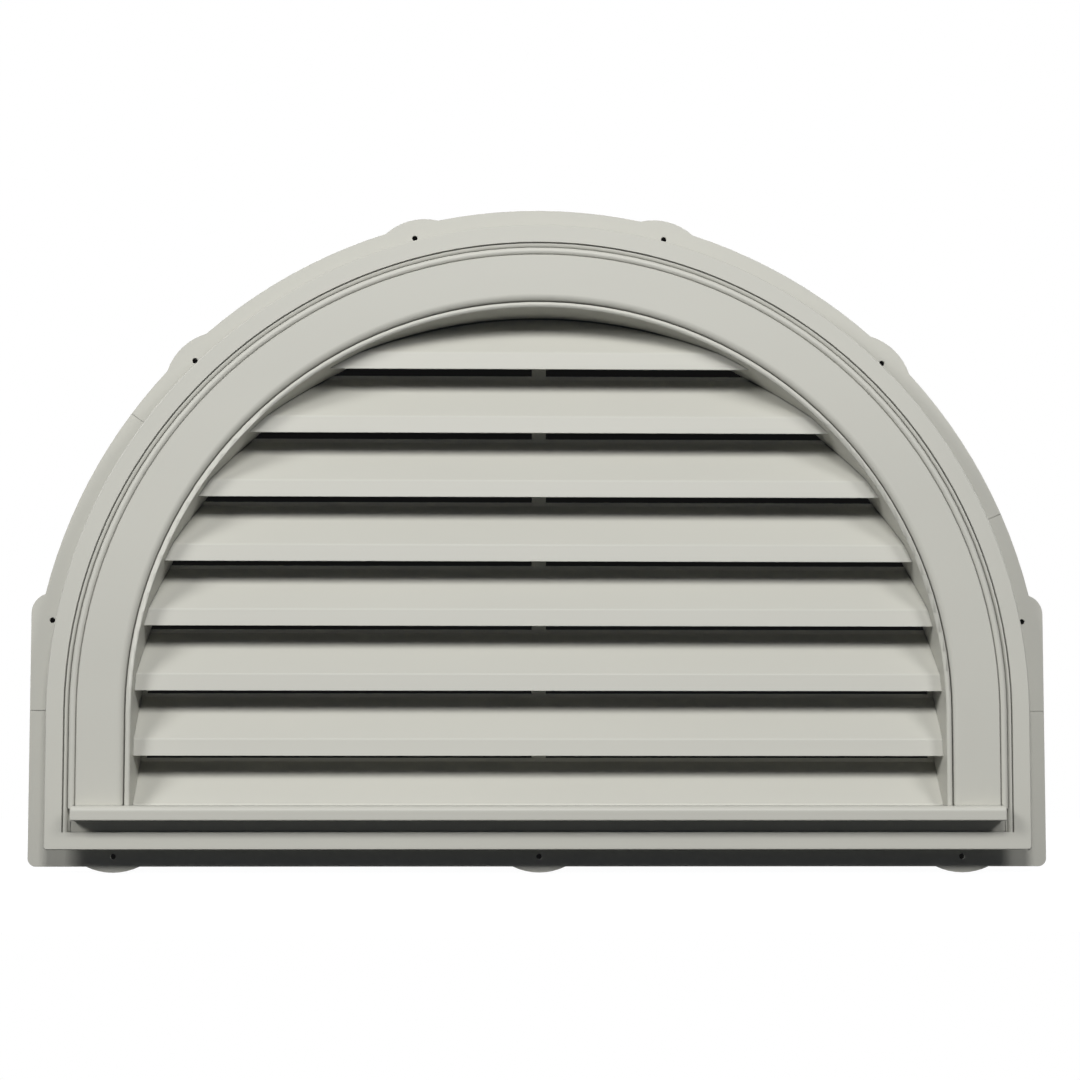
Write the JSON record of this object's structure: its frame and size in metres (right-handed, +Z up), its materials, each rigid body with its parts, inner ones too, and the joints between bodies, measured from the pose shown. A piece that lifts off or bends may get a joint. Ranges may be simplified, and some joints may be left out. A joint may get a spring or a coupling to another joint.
{
  "type": "gable vent",
  "caption": "Half-round louvred gable vent moulded in one piece, with a moulded casing, sill, siding channel and nailing flange.",
  "frame": {"origin": "centre of the arch, in the plane of the nailing flange's back", "axes": "+X to the right seen from outside, +Y into the wall, +Z up"},
  "size_m": [0.8636, 0.0612, 0.5683],
  "materials": {
    "moulded_plastic": "matte moulded-through warm grey polypropylene"
  },
  "bodies": {
    "root": {"vent_body": "moulded_plastic"}
  },
  "joints": []
}
